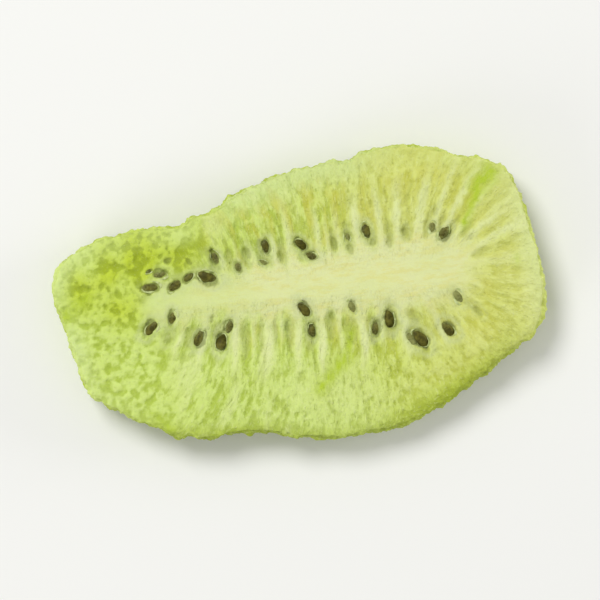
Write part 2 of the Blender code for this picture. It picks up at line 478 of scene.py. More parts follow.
# Soft oval patches: x, y, how much longer than wide, and size; some with a strength first
PATCHES = {
    "crumbly": (-10.0, -14.0, 2.0, 5.5), "lined": (7.0, -7.5, 2.2, 4.5), "lit": (4.0, -10.5, 1.8, 4.5),
    "dashed": (15.5, -6.5, 1.5, 5.0), "dashed_tip": (22.0, 0.5, 1.0 / 1.3, 4.68),
}
GREEN_PATCHES = (
    (1.1, -16.5, 7.4, 1.8, 3.9), (0.25, -6.0, 9.0, 1.0, 3.5),
    (0.45, -11.0, 10.2, 1.7, 1.8), (0.75, -21.5, 2.8, 1.0, 3.8),
)
GREEN_EVEN_PATCH = (0.3, -23.5, 3.0, 1.0, 3.0)
FROTH_AND_LIGHT_LOSSES = ((0.75, -18.0, 8.0, 1.6, 5.0), (0.7, -26.5, 1.5, 1.0, 3.0), (0.7, -9.0, 10.2, 1.4, 2.2))
PALE_PATCHES = ((1.0, 13.0, 6.0, 1.0, 4.2), (0.8, 5.0, -10.5, 1.8, 4.5))
PALE_OUTER_PATCH = (0.5, 15.0, -9.0, 1.6, 4.0)
# Painted light at the right end, whose rim turns away from the key light: strength, and where each step
# begins and is complete along x
PAINTED_LIGHT_END_STEPS = ((0.5, 20.0, 23.0), (1.2, 24.0, 27.0))

# The left end, which reaches further in on the upper half, and the border, which is wider on the far side
LEFT_END, LEFT_END_UPPER_SHIFT = -18.0, 4.0
LEFT_END_FADE, LEFT_END_UPPER_FADE = 4.5, 1.5
BORDER_START, BORDER_END, BORDER_EXTRA = 0.4, 2.6, 1.2

# The broad lower right shoulder, which turns away from the light, by its bearing from the middle of the
# slice: its deeper green is partly the peeled side's own and partly painted shade
SHOULDER_BEARING = math.radians(-40.0)
SHOULDER_SPREAD = math.radians(27.0)
SIDE_WALL = 0.75


def ramp(name, value):
    return smooth_step(*RAMPS[name], value)


def fall(name, value):
    return 1.0 - ramp(name, value)


def inside_edge(places, wall):
    """Distance in from the peeled side, measured flat."""
    side = places[wall > SIDE_WALL]
    tree = KDTree(len(side))
    for index, (x, y, _) in enumerate(side.tolist()):
        tree.insert((x, y, 0.0), index)
    tree.balance()
    return np.array([tree.find((x, y, 0.0))[2] for x, y, _ in places.tolist()])


def parts_of(places, up):
    """Where the parts of the slice are, from 0 to 1, with some distances in millimetres."""
    x, y, z = places.T
    at = SimpleNamespace(x=x, y=y, z=z, up=up, top=np.where(up > 0.0, 1.0, 0.0))
    at.face = ramp("face", np.abs(up))
    at.wall = 1.0 - at.face
    at.inset = inside_edge(places, at.wall)
    at.outside = outside_core(x, y)
    at.upper_half = ramp("upper_half", y)
    at.far_side = ramp("far_side", y) * at.top
    at.right_end = ramp("right_end", x)
    left_fade = LEFT_END_FADE + LEFT_END_UPPER_FADE * at.upper_half
    at.left_end = 1.0 - smooth_step(0.0, left_fade, x - LEFT_END - LEFT_END_UPPER_SHIFT * at.upper_half)
    border_end = BORDER_END + BORDER_EXTRA * ramp("wide_border", y)
    at.border = (1.0 - smooth_step(BORDER_START, border_end, at.inset)) * at.face
    # The lower rim lies in shade: the darker, deeper green given to it is painted shade
    at.lower_rim = fall("lower_side", y) * ramp("lower_rim", x) * fall("rim", at.inset)
    at.shoulder = bell(np.arctan2(y, x) - SHOULDER_BEARING, SHOULDER_SPREAD)
    to_foci = [np.hypot(x - focus, y - CORE_Y) for focus in (RAY_FOCUS_LEFT, RAY_FOCUS_RIGHT)]
    at.off_focus = ramp("off_focus", np.minimum(*to_foci))
    at.tip = ramp("tip", ray_spread(x, y)) * at.right_end
    at.crumbly = patch(x, y, *PATCHES["crumbly"])
    at.lined = patch(x, y, *PATCHES["lined"]) * at.top
    far_flecks = at.far_side * ramp("far_flecks", x) * fall("far_flecks_end", x)
    at.flecked = np.maximum(far_flecks, ramp("end_flecks", x) * fall("end_flecks_top", y))
    return at


# ---------------- noises


# Layers of a noise: strength, scale and seed
WANDER = ((0.18, 0.28, 1), (0.07, 0.9, 2))
FRAYING = ((0.09, 1.7, 28),)
TORN = ((0.26, 1.5, 27), (0.12, 3.4, 29))

# Noises drawn out along the rays: stretch, scale and seed. TIGHT_SEEDS and EVEN_SEEDS are added to the seeds
# of their finer and even versions.
COMBED = {
    "long_rays": (6.0, 1.15, 5), "fibres": (3.3, 2.0, 6), "fine_fibres": (2.8, 3.6, 7),
    "cells": (2.6, 1.8, 8), "flecks": (1.5, 1.25, 35), "thin_dashes": (5.0, 2.3, 34),
}
STREAKY = (6.0, 0.75, 22)
TIGHT_SEEDS = 60
EVEN_SEEDS = 30

# Noises strewn over the slice: scale and seed, and for some what the three axes are multiplied with
STREWN = {
    "swell": (0.26, 10), "lumps": (0.8, 11), "grains": (1.9, 12), "crumbs": (3.2, 16), "teeth": (0.9, 4),
    "dash_ends": (2.4, 14), "specks": (0.95, 25), "fringe": (1.1, 21), "greens": (0.34, 33),
    "core_fibres": (1.3, 3, (0.35, 1.6, 1.6)), "knobs": (0.7, 18, (1.0, 1.0, 0.35)),
    "dimples": (1.4, 15, (1.0, 1.0, 0.7)),
}

# What is drawn along the rays moves outwards by this much for each millimetre of height.
RAY_SLOPE = 3.0


def along_rays(places, at):
    """Frayed station of each point, and its place in a space where each ray is an upright line."""
    station = station_at(at.x, at.y) + layered(places, WANDER) * (1.0 - 0.6 * at.right_end)
    angle = station * 2.0 * math.pi / RING_LENGTH
    radius = 0.5 * RING_LENGTH / math.pi
    level = at.outside - RAY_SLOPE * at.z
    rays = np.column_stack((radius * np.cos(angle), radius * np.sin(angle), level))
    return station + layered(places, FRAYING), rays


def combed(places, rays, at, stretch, scale, seed):
    """Noise drawn out along the rays: finer where they spread, and even at the left end and the foci."""
    drawn = noise_at(rays * (1.0, 1.0, 1.0 / stretch), scale, seed)
    tight = noise_at(rays * (TIGHTER, TIGHTER, 1.0 / stretch), scale, seed + TIGHT_SEEDS)
    drawn += (tight - drawn) * at.tip
    even = noise_at(places, scale, seed + EVEN_SEEDS)
    return drawn + (even - drawn) * (1.0 - (1.0 - at.left_end) * at.off_focus)


def noises_of(places, rays, at):
    """Every noise of the flesh, by name."""
    noises = {name: combed(places, rays, at, *layer) for name, layer in COMBED.items()}
    for name, (scale, seed, *axes) in STREWN.items():
        noises[name] = noise_at(places * axes[0] if axes else places, scale, seed)
    stretch, scale, seed = STREAKY
    streaky = noise_at(rays * (1.0, 1.0, 1.0 / stretch), scale, seed) * (1.0 - 0.7 * at.left_end)
    return SimpleNamespace(**noises, streaky=streaky, torn=layered(places, TORN))


# ---------------- forms on the flesh


# Toothed edge of the core, in millimetres from the core's outline, with what moves it in or out
CORE_EDGE = (-0.7, 1.9)
CORE_EDGE_RIGHT = (-1.6, 0.6)
CORE_TEETH = {"teeth": 0.45, "walls": -1.5, "chamber": 0.4}
CORE_TEETH_RIGHT = 0.5

# Gaps between the walls: how soon a wall ends them, and the middle and spread of the band of seeds in them
GAP_SHARPNESS = 1.6
SEED_BAND, SEED_BAND_UPPER_SHIFT, SEED_BAND_SPREAD = 3.9, -2.0, 3.2

UNEVEN_BY_FIBRES = 0.2
DASH_ENDS = 0.5
LINED_DASHES = 0.5
OUTER_SPECKS = 0.2
GREEN_BASE, GREEN_SWING = 0.85, 0.7


def forms_of(at, noises, station):
    """Walls, chambers, core, pits and smaller marks of the faces, from 0 to 1."""

    def relief(walls):
        return wall_relief(station, at.outside, walls), chamber_relief(station, at.outside, walls)

    def pits_of(seeds):
        return pits(at.x, at.y, noises.torn, seeds)

    is_top = at.up > 0.0
    form = SimpleNamespace(loose=at.left_end * at.face)
    combed_face = (1.0 - at.left_end) * at.face
    form.walls, form.chamber = np.where(is_top, relief(upper_walls()), relief(under_walls())) * combed_face
    form.pit, form.halo = np.where(is_top, pits_of(SEEDS), pits_of(UNDER_SEEDS)) * at.face

    teeth = at.outside + CORE_TEETH_RIGHT * (1.0 + noises.fibres) * at.right_end
    teeth += blend(CORE_TEETH, {"teeth": noises.teeth, "walls": form.walls, "chamber": form.chamber})
    start, end = (edge + extra * at.right_end for edge, extra in zip(CORE_EDGE, CORE_EDGE_RIGHT))
    form.core = (1.0 - smooth_step(start, end, teeth)) * at.face
    form.rough = 1.0 - UNEVEN_BY_FIBRES + UNEVEN_BY_FIBRES * noises.fibres
    form.septum = form.walls * (1.0 - form.core) * form.rough
    form.open = at.face * (1.0 - form.core)
    form.outer = ramp("outer", at.outside) * form.open

    gaps = (1.0 - np.minimum(GAP_SHARPNESS * form.walls, 1.0)) * form.open
    band = bell(at.outside - SEED_BAND - SEED_BAND_UPPER_SHIFT * at.upper_half, SEED_BAND_SPREAD)
    form.between = gaps * band * (1.0 - at.left_end) * (1.0 - 0.6 * at.right_end)
    form.fan_gaps = gaps * at.right_end * ramp("fan_gaps", at.y)

    dashes = ramp("dashes", noises.cells + DASH_ENDS * noises.dash_ends)
    form.dashes = dashes * form.outer * (1.0 - 0.5 * at.border)
    form.flecks = ramp("flecks", noises.flecks) * at.flecked * form.open * (1.0 - 0.8 * at.border)
    dashed = patch(at.x, at.y, *PATCHES["dashed"]) + patch(at.x, at.y, *PATCHES["dashed_tip"])
    dashed += LINED_DASHES * at.lined
    form.thin_dashes = ramp("thin_dashes", noises.thin_dashes) * form.open * dashed
    form.dimples = ramp("dimples", noises.dimples) * at.wall
    form.specks = ramp("specks", noises.specks) * np.clip(form.loose + OUTER_SPECKS * form.outer, 0.0, 1.0)

    form.green = sum(strength * patch(at.x, at.y, *where) for strength, *where in GREEN_PATCHES)
    form.green *= GREEN_BASE + GREEN_SWING * noises.greens
    form.green += GREEN_EVEN_PATCH[0] * patch(at.x, at.y, *GREEN_EVEN_PATCH[1:])
    form.lush = np.clip(form.green, 0.0, 1.0) * at.top
    return form


# ---------------- relief


# Millimetres that each form or noise raises the surface, or sinks it where negative
HEIGHT_BASE = -0.10
HEIGHTS = {
    "swell": 0.10, "crumbly_edge": 0.14, "septum": 0.13, "chamber": -0.32, "pit": -0.50, "dashes": -0.13,
    "dimples": -0.15, "thin_dashes": -0.12, "flecks": -0.10, "between": -0.06, "specks": -0.07,
    "lush_specks": -0.06, "long_rays": 0.045, "fibres": 0.065, "fine_fibres": 0.050, "core_fibres": 0.020,
    "knobs": 0.20, "crumbly_knobs": 0.10,
}
# Millimetres of the finer noises, everywhere and in some parts besides
ROUGHNESS = {
    "lumps": {"everywhere": 0.02, "outer": 0.02, "wall": 0.15, "loose": 0.03},
    "grains": {"everywhere": 0.018, "wall": 0.15, "loose": 0.06},
    "crumbs": {"everywhere": 0.022, "wall": 0.05},
}
KNOBS_ABOVE = 0.4

# Below, the relief only cuts inwards so that the slice stays flat on its rest.
UNDER_TILT = -0.3
UNDER_SINK = 0.12


def relief_of(at, noises, form):
    """Height in millimetres that each point moves along its normal."""
    knobs = (noises.knobs - KNOBS_ABOVE) * at.wall
    inner = form.open * (1.0 - 0.6 * at.border) * (1.0 - 0.35 * at.right_end)
    layers = {
        **vars(form),
        "swell": noises.swell,
        "crumbly_edge": at.crumbly * ramp("crumbs", noises.lumps) * fall("crumbly_rim", at.inset),
        "chamber": form.chamber * form.rough,
        "lush_specks": form.lush * form.specks,
        "long_rays": noises.long_rays * form.open,
        "fibres": noises.fibres * inner,
        "fine_fibres": noises.fine_fibres * inner,
        "core_fibres": noises.core_fibres * form.core,
        "knobs": knobs,
        "crumbly_knobs": at.crumbly * knobs,
    }
    relief = HEIGHT_BASE + blend(HEIGHTS, layers)
    where = {"everywhere": 1.0, "outer": form.outer, "wall": at.wall, "loose": form.loose}
    for name, heights in ROUGHNESS.items():
        relief += blend(heights, where) * getattr(noises, name)
    return np.where(at.up < UNDER_TILT, np.minimum(relief - UNDER_SINK, 0.0), relief)


# ---------------- fields that the material reads


# Weights of the noises that make up the mottling
MOTTLE = {"cells": 0.3, "long_rays": -0.5, "fibres": -0.6, "fine_fibres": -0.45, "streaky": 0.25}
MOTTLE_GRAINS = {"grains": -0.05, "loose_grains": -0.3, "lumps": -0.35}
MOTTLE_FAR_SIDE = 0.3
MOTTLE_WALL = 0.6

# How dark each form or noise makes the surface: partly the flesh's own darker marks, partly painted shade in
# its hollows; the lower rim's share is all painted shade
CAVITY_BASE, CAVITY_GAIN = 0.4, 0.6
CAVITY = {
    "mottle": 0.5, "dashes": 0.5, "far_dashes": 0.2, "dimples": 0.6, "chamber": 0.2, "wall_lumps": -0.15,
    "between": 0.32, "upper_between": 0.1, "specks": 0.55, "lush_specks": 0.35, "thin_dashes": 0.7,
    "flecks": 0.75, "lower_rim": 0.42, "fan_gaps": 0.3, "lit": -0.16,
}

# Vivid green streaks, each a line of points with its half width and strength
STREAKS = (
    (((23.0, 11.7), (21.6, 10.3)), 1.3, 1.0),
    (((21.8, 10.2), (20.8, 8.6), (19.4, 6.2)), 0.7, 1.0),
    (((25.1, 1.9), (24.7, 1.2)), 0.5, 0.5),
    (((5.4, -3.8), (5.0, -5.6), (4.7, -6.8)), 0.55, 0.85),
    (((4.7, -6.8), (3.3, -8.0), (2.3, -9.0), (1.1, -10.3)), 0.8, 0.95),
    (((-24.0, 3.0), (-26.8, 1.4)), 0.9, 0.8),
    (((-18.0, -10.6), (-16.2, -12.6)), 0.6, 0.6),
)
STREAK_FRINGE, STREAK_FIBRES = 0.35, 0.21
STREAK_BASE = 0.95
STREAK_BLOTCHES = {"lumps": 0.35, "fine_fibres": 0.35}

# Strengths of the rind's deeper green, partly painted shade and on the lower rim all painted shade, of the
# froth and its painted light, of the paler flesh, the green and the yellow
RIND_AND_SHADE_WALL, LOWER_RIM_SHADE, CRUMBLY_RIM_SHADE = 0.8, 0.65, 0.3
FROTH_AND_LIGHT_BELOW = 0.25
PALE_CORE_SPREAD, PALE_CORE_SLANT = 3.0, 0.6
PALE_STRIPS = 0.8
RUBBED = 0.6
RUBBED_NOISES = {"crumbs": 0.7, "grains": 0.6}
OCHRE_MIDDLE, OCHRE_SPREAD = 2.2, 2.6
# GREEN_WALL greens the whole wall: partly its own colour, partly painted green bounce light
GREEN_CORE, GREEN_WALL, GREEN_SWELL = 0.6, 0.45, 0.15
YELLOW_SLANT = 0.3

# Scales of the coordinates that the material draws its own noises with
RAY_AXES = (1.0, 1.0, 0.3)
TIGHT_RAY_AXES = (TIGHTER, TIGHTER, 0.3)
STRAND_AXES = (0.4, 1.3, 1.3)


def cavity_of(at, noises, form):
    """How dark the surface is: the flesh's own darker marks, with painted shade in its hollows and on the
    lower rim.
    """
    mottle = blend(MOTTLE, vars(noises)) * (1.0 - 0.5 * at.flecked) * (1.0 - 0.45 * at.lined)
    grains = {"grains": noises.grains, "loose_grains": noises.grains * form.loose, "lumps": noises.lumps}
    mottle += blend(MOTTLE_GRAINS, grains)
    layers = {
        **vars(form),
        "mottle": mottle * (1.0 + MOTTLE_FAR_SIDE * at.far_side) * (form.open + MOTTLE_WALL * at.wall),
        "far_dashes": at.far_side * form.dashes,
        "wall_lumps": noises.lumps * at.wall,
        "upper_between": at.upper_half * form.between,
        "lush_specks": form.lush * form.specks,
        "lower_rim": at.lower_rim,
        "lit": patch(at.x, at.y, *PATCHES["lit"]),
    }
    return np.clip(CAVITY_BASE + CAVITY_GAIN * blend(CAVITY, layers), 0.0, 1.0)


def rind_and_shade_of(at):
    """Deeper green on the wall, the lower rim and the shoulder: partly the peeled side's own colour, partly
    painted shade where these lie in shade or turn from the light.
    """
    on_wall = RIND_AND_SHADE_WALL * at.wall * fall("rind_and_shade_top", at.z)
    on_rim = (LOWER_RIM_SHADE + CRUMBLY_RIM_SHADE * at.crumbly) * at.lower_rim
    on_shoulder = at.shoulder * fall("shoulder_rim", at.inset) * fall("shoulder_end", at.x)
    return np.maximum(np.maximum(on_wall, on_rim), on_shoulder)


def froth_and_light_of(at):
    """Pale frothy border and top of the wall, with painted light: strongest on the upper side that faces the
    light, weaker below and kept off the shaded shoulder.
    """
    froth_and_light = (FROTH_AND_LIGHT_BELOW + (1.0 - FROTH_AND_LIGHT_BELOW) * ramp("froth_and_light", at.y)) * (1.0 - at.shoulder)
    froth_and_light *= 1.0 - 0.6 * ramp("froth_and_light_end", at.x)
    for strength, *where in FROTH_AND_LIGHT_LOSSES:
        froth_and_light *= 1.0 - strength * patch(at.x, at.y, *where)
    return np.maximum(at.border, at.wall * ramp("froth_and_light_wall", at.z)) * froth_and_light


def near_line(x, y, line):
    """Distance from each point to a broken line."""
    nearest = np.full_like(x, np.inf)
    for (x0, y0), (x1, y1) in zip(line, line[1:]):
        length = math.hypot(x1 - x0, y1 - y0)
        share = np.clip(((x - x0) * (x1 - x0) + (y - y0) * (y1 - y0)) / length**2, 0.0, 1.0)
        nearest = np.minimum(nearest, np.hypot(x - x0 - share * (x1 - x0), y - y0 - share * (y1 - y0)))
    return nearest


def streaks_of(at, noises):
    """Vivid green streaks with frayed edges."""
    fraying = STREAK_FRINGE * np.abs(noises.fringe) + STREAK_FIBRES * np.abs(noises.fine_fibres)
    streak = np.zeros_like(at.x)
    for line, half_width, strength in STREAKS:
        streak = np.maximum(streak, strength * bell(near_line(at.x, at.y, line) + fraying, half_width))
    streak *= STREAK_BASE + blend(STREAK_BLOTCHES, vars(noises))
    return np.clip(streak, 0.0, 1.0) * at.face * at.top


def pale_of(at, noises, form):
    """Paler flesh round the core, in patches and in strips, painted light at the right end, and rubbed bits
    of the wall; none on the shaded shoulder.
    """
    pale = bell(np.maximum(at.outside, 0.0), PALE_CORE_SPREAD)
    pale *= ramp("pale_core", at.x + PALE_CORE_SLANT * at.y)
    for strength, *where in PALE_PATCHES:
        pale = np.maximum(pale, strength * patch(at.x, at.y, *where))
    pale *= (1.0 - 0.5 * form.chamber) * (1.0 - 0.6 * form.between)
    strips = PALE_STRIPS * ramp("strips", -noises.streaky) * form.outer
    strips *= 1.0 - 0.6 * at.far_side * ramp("strips_far", at.x)
    # Painted light: the right end and its rim made paler
    end = sum(strength * smooth_step(start, stop, at.x) for strength, start, stop in PAINTED_LIGHT_END_STEPS)
    strength, *where = PALE_OUTER_PATCH
    for layer in (strips, end, strength * patch(at.x, at.y, *where)):
        pale = np.maximum(pale, layer)
    rubbed = RUBBED * ramp("rubbed", blend(RUBBED_NOISES, vars(noises))) * at.wall
    return np.maximum(pale * at.face * (1.0 - at.shoulder), rubbed)


def fields_of(at, noises, form):
    """What the flesh material reads at each point, from 0 to 1."""
    rind_and_shade = rind_and_shade_of(at)
    into_core = ramp("into_core", -at.outside / core_half_width(at.x)) * at.face
    green = (form.green + GREEN_CORE * form.core * fall("green_core", at.x)) * at.top
    ochre_band = bell(at.outside - OCHRE_MIDDLE, OCHRE_SPREAD) * ramp("ochre_band", at.x)
    ochre_far = at.far_side * ramp("ochre_far", at.x)
    return {
        "core": form.core,
        "ridge": form.septum * (1.0 - 0.4 * ramp("ridge_out", at.outside)),
        "cavity": cavity_of(at, noises, form),
        "chamber": form.chamber * (1.0 - 0.8 * form.core),
        "pit": np.clip(form.pit * (1.0 + form.lush), 0.0, 1.0),
        "halo": form.halo * (1.0 - form.pit) * (1.0 - 0.8 * form.lush),
        "rind_and_shade": rind_and_shade,
        "border": froth_and_light_of(at) * (1.0 - 0.6 * rind_and_shade),
        "comb": (1.0 - into_core) * (1.0 - 0.85 * at.left_end) * at.off_focus,
        "streak": streaks_of(at, noises),
        "green": np.clip(green + GREEN_WALL * at.wall + GREEN_SWELL * noises.swell, 0.0, 1.0),
        "yellow": ramp("yellow", at.x + YELLOW_SLANT * at.y),
        "pale": pale_of(at, noises, form),
        "tip": at.tip,
        "ochre": np.maximum(ochre_band, ochre_far) * form.open,
    }


def shape_flesh(piece):
    """Raise the ridges, sink the pits and pores, and store the fields that the material reads."""
    mesh = piece.data
    places = vectors_of(mesh, "co")
    normals = vectors_of(mesh, "normal")
    at = parts_of(places, normals[:, 2])
    station, rays = along_rays(places, at)
    noises = noises_of(places, rays, at)
    form = forms_of(at, noises, station)
    low, high = (np.array(corner) / METRES for corner in cad_box)
    move_to(mesh, soft_limit(places + normals * relief_of(at, noises, form)[:, None], low, high))
    for name, values in fields_of(at, noises, form).items():
        set_field(mesh, name, "FLOAT", "value", values)
    for name, vectors in (
        ("ray", rays * RAY_AXES),
        ("tight_ray", rays * TIGHT_RAY_AXES),
        ("strands", places * STRAND_AXES),
    ):
        set_field(mesh, name, "FLOAT_VECTOR", "vector", vectors)


def finish_mesh(piece):
    """Back to metres, with smooth shading."""
    piece.data.transform(Matrix.Scale(METRES, 4))
    piece.data.shade_smooth()


# ---------------- materials


def srgb(red, green, blue):
    """Linear colour from the 0 to 255 values that a picture shows."""
    linear = []
    for level in (red, green, blue):
        share = level / 255.0
        linear.append(share / 12.92 if share <= 0.04045 else ((share + 0.055) / 1.055) ** 2.4)
    return (*linear, 1.0)


class Nodes:
    """Short calls for building a node material."""

    def __init__(self, name, roughness):
        self.material = bpy.data.materials.new(name)
        self.material.use_nodes = True
        self.tree = self.material.node_tree
        self.shader = self.tree.nodes["Principled BSDF"]
        self.shader.inputs["Roughness"].default_value = roughness

    def link(self, output, socket):
        self.tree.links.new(output, socket)

    def add(self, kind, output, inputs, **settings):
        """Add a node, give its inputs links or plain values, and return one of its outputs."""
        node = self.tree.nodes.new(kind)
        for name, value in settings.items():
            setattr(node, name, value)
        for name, value in inputs.items():
            if isinstance(value, bpy.types.NodeSocket):
                self.link(value, node.inputs[name])
            else:
                node.inputs[name].default_value = value
        return node.outputs[output]

    def field(self, name, output="Fac"):
        return self.add("ShaderNodeAttribute", output, {}, attribute_name=name)

    def place(self):
        """Object coordinates in millimetres."""
        inputs = {0: self.add("ShaderNodeTexCoord", "Object", {}), "Scale": 1.0 / METRES}
        return self.add("ShaderNodeVectorMath", "Vector", inputs, operation="SCALE")

    def noise(self, vector, scale, detail=2.0, roughness=0.55):
        inputs = {"Vector": vector, "Scale": scale, "Detail": detail, "Roughness": roughness}
        return self.add("ShaderNodeTexNoise", "Fac", inputs)

    def ray_noise(self, scale, detail=2.0, roughness=0.55):
        """Noise drawn out along the rays, finer where they spread."""
        broad, tight = (
            self.noise(self.field(name, "Vector"), scale, detail, roughness) for name in ("ray", "tight_ray")
        )
        return self.mix(self.field("tip"), broad, tight, "FLOAT")

    def voronoi(self, vector, scale, feature):
        """Distance from the nearest point (F1) or cell wall (DISTANCE_TO_EDGE) of a foam of cells."""
        inputs = {"Vector": vector, "Scale": scale}
        return self.add("ShaderNodeTexVoronoi", "Distance", inputs, feature=feature)

    def span(self, value, low, high, to_low=0.0, to_high=1.0):
        """Map low..high to to_low..to_high, held at both ends."""
        inputs = {"Value": value, "From Min": low, "From Max": high, "To Min": to_low, "To Max": to_high}
        return self.add("ShaderNodeMapRange", "Result", inputs, interpolation_type="SMOOTHSTEP")

    def math(self, operation, first, second):
        return self.add("ShaderNodeMath", "Value", {0: first, 1: second}, operation=operation)

    def product(self, first, *others):
        for other in others:
            first = self.math("MULTIPLY", first, other)
        return first

    def swing(self, value, strength):
        """A value of 0 to 1 as one that swings about 0, this strong."""
        return self.product(self.math("SUBTRACT", value, 0.5), strength)

    def mix(self, share, first, second, kind="RGBA"):
        return self.add("ShaderNodeMix", "Result", {"Factor": share, "A": first, "B": second}, data_type=kind)

    def tint(self, color, tint, share, most):
        """Tint a colour where share says, and nowhere more than most."""
        return self.mix(self.product(share, most), color, tint)

    def bump(self, height, distance, strength, **normal):
        inputs = {"Height": height, "Distance": distance * METRES, "Strength": strength, **normal}
        return self.add("ShaderNodeBump", "Normal", inputs)


FLESH = srgb(207, 226, 126)
FLESH_YELLOW = srgb(214, 220, 120)
FLESH_GREEN = srgb(192, 211, 62)
# Darker greens of hollows and pores: partly the flesh's own colour, partly painted shade
GROOVE = srgb(168, 190, 58)
GROOVE_YELLOW = srgb(190, 194, 72)
GROOVE_GREEN = srgb(148, 165, 36)
OCHRE = srgb(198, 199, 80)
CHAMBER = srgb(182, 190, 116)
RIDGE = srgb(223, 231, 165)
CORE = srgb(221, 226, 165)
CORE_YELLOW = srgb(219, 217, 140)
CORE_GREEN = srgb(206, 222, 140)
VIVID = srgb(180, 203, 58)
# Olive greys of the pits round the seeds: partly the flesh's own colour, partly painted shade
POCKET_SHADE = srgb(134, 142, 90)
POCKET_SHADE_GREEN = srgb(138, 150, 56)
PALE_DUST = srgb(226, 235, 166)
# Pale frothy rims, also painted light where they face the light
BORDER_FROTH_AND_LIGHT = srgb(208, 224, 152)
# Deeper greens of the peeled side, partly painted shade on the wall, the lower rim and the shoulder
RIND_AND_SHADE = srgb(179, 199, 50)
RIND_AND_SHADE_DEEP = srgb(146, 164, 40)
HAZE = srgb(196, 206, 150)
SEED_DARK = srgb(70, 67, 22)
SEED_LIGHT = srgb(108, 104, 40)
SEED_DUST = srgb(156, 162, 98)
FILM_DARK = srgb(170, 182, 108)
FILM_LIGHT = srgb(200, 210, 146)
FLOOR = srgb(240, 240, 236)


def flesh_pores(n, place, fine, grain):
    """Open cells between the rays, and small round or drawn out pores, from 0 to 1."""
    ray = n.field("ray", "Vector")
    patches = n.span(n.noise(place, scale=1.4), 0.42, 0.62)
    foam = n.span(n.voronoi(ray, 1.9, "DISTANCE_TO_EDGE"), 0.04, 0.3)
    open_cells = n.product(foam, patches, n.field("comb"))
    long_pores = n.product(n.span(n.voronoi(ray, 2.3, "F1"), 0.42, 0.16), n.field("comb"))
    long_pores = n.product(long_pores, n.span(fine, 0.62, 0.4))
    dots = n.math("ADD", n.voronoi(place, 2.7, "F1"), n.swing(grain, 0.7))
    round_pores = n.product(n.span(dots, 0.38, 0.12), n.span(fine, 0.45, 0.62))
    round_pores = n.product(round_pores, n.span(n.field("core"), 0.2, 0.9, to_low=1.0, to_high=0.25))
    return open_cells, n.math("MAXIMUM", long_pores, round_pores)


def flesh_color(n, fine, grain, fibre, strands, open_cells, pores):
    """From the ground colour up: hollows, zones, core, streaks, pits and dust, with painted shade in the
    hollows, the pits, the lower rim and the shoulder and painted light on the rims that face the light and at
    the right end.
    """
    groove = n.mix(n.field("yellow"), GROOVE, GROOVE_YELLOW)
    groove = n.mix(n.field("green"), groove, GROOVE_GREEN)
    # Deeper green of the peeled side on the grooves and the surface: partly its own colour, partly painted
    # shade
    groove = n.tint(groove, RIND_AND_SHADE_DEEP, n.field("rind_and_shade"), 0.8)
    color = n.mix(n.field("yellow"), FLESH, FLESH_YELLOW)
    color = n.mix(n.field("green"), color, FLESH_GREEN)
    color = n.tint(color, RIND_AND_SHADE, n.field("rind_and_shade"), 0.9)
    # Hollows and open cells darkened towards the groove greens: partly the flesh's own colour, partly painted
    # shade
    dashes = n.product(n.math("SUBTRACT", n.ray_noise(scale=2.4), 0.5), n.field("comb"), 1.5)
    mottle = n.math("ADD", dashes, n.swing(fine, 0.35))
    hollow = n.span(n.math("ADD", n.field("cavity"), mottle), 0.3, 0.8)
    color = n.tint(color, groove, hollow, 0.75)
    color = n.tint(color, groove, open_cells, 0.25)
    warm = n.span(n.ray_noise(scale=0.9), 0.42, 0.68)
    color = n.tint(color, OCHRE, n.product(warm, n.field("ochre")), 0.75)
    # Paler flesh, with painted light at the right end
    color = n.tint(color, RIDGE, n.field("pale"), 0.4)
    color = n.tint(color, CHAMBER, n.field("chamber"), 0.45)
    # Frothy rims with painted light where they face the light
    color = n.tint(color, BORDER_FROTH_AND_LIGHT, n.field("border"), 0.7)
    color = n.tint(color, RIDGE, n.span(n.field("ridge"), 0.0, 0.8), 0.9)
    color = n.tint(color, PALE_DUST, n.product(n.span(fibre, 0.52, 0.75), n.field("comb")), 0.34)
    core = n.tint(CORE, CORE_YELLOW, n.span(strands, 0.42, 0.66), 0.8)
    core = n.mix(n.field("green"), core, CORE_GREEN)
    color = n.tint(color, core, n.field("core"), 0.95)
    color = n.mix(n.field("streak"), color, VIVID)
    color = n.tint(color, HAZE, n.field("halo"), 0.5)
    # Painted shade in the pits round the seeds, over the flesh's own olive
    pocket_shade = n.mix(n.field("green"), POCKET_SHADE, POCKET_SHADE_GREEN)
    color = n.mix(n.span(n.field("pit"), 0.2, 0.9, to_high=0.75), color, pocket_shade)
    color = n.tint(color, PALE_DUST, n.span(grain, 0.55, 0.8), 0.3)
    # Pores a little darker: painted shade in them
    return n.tint(color, groove, pores, 0.14)


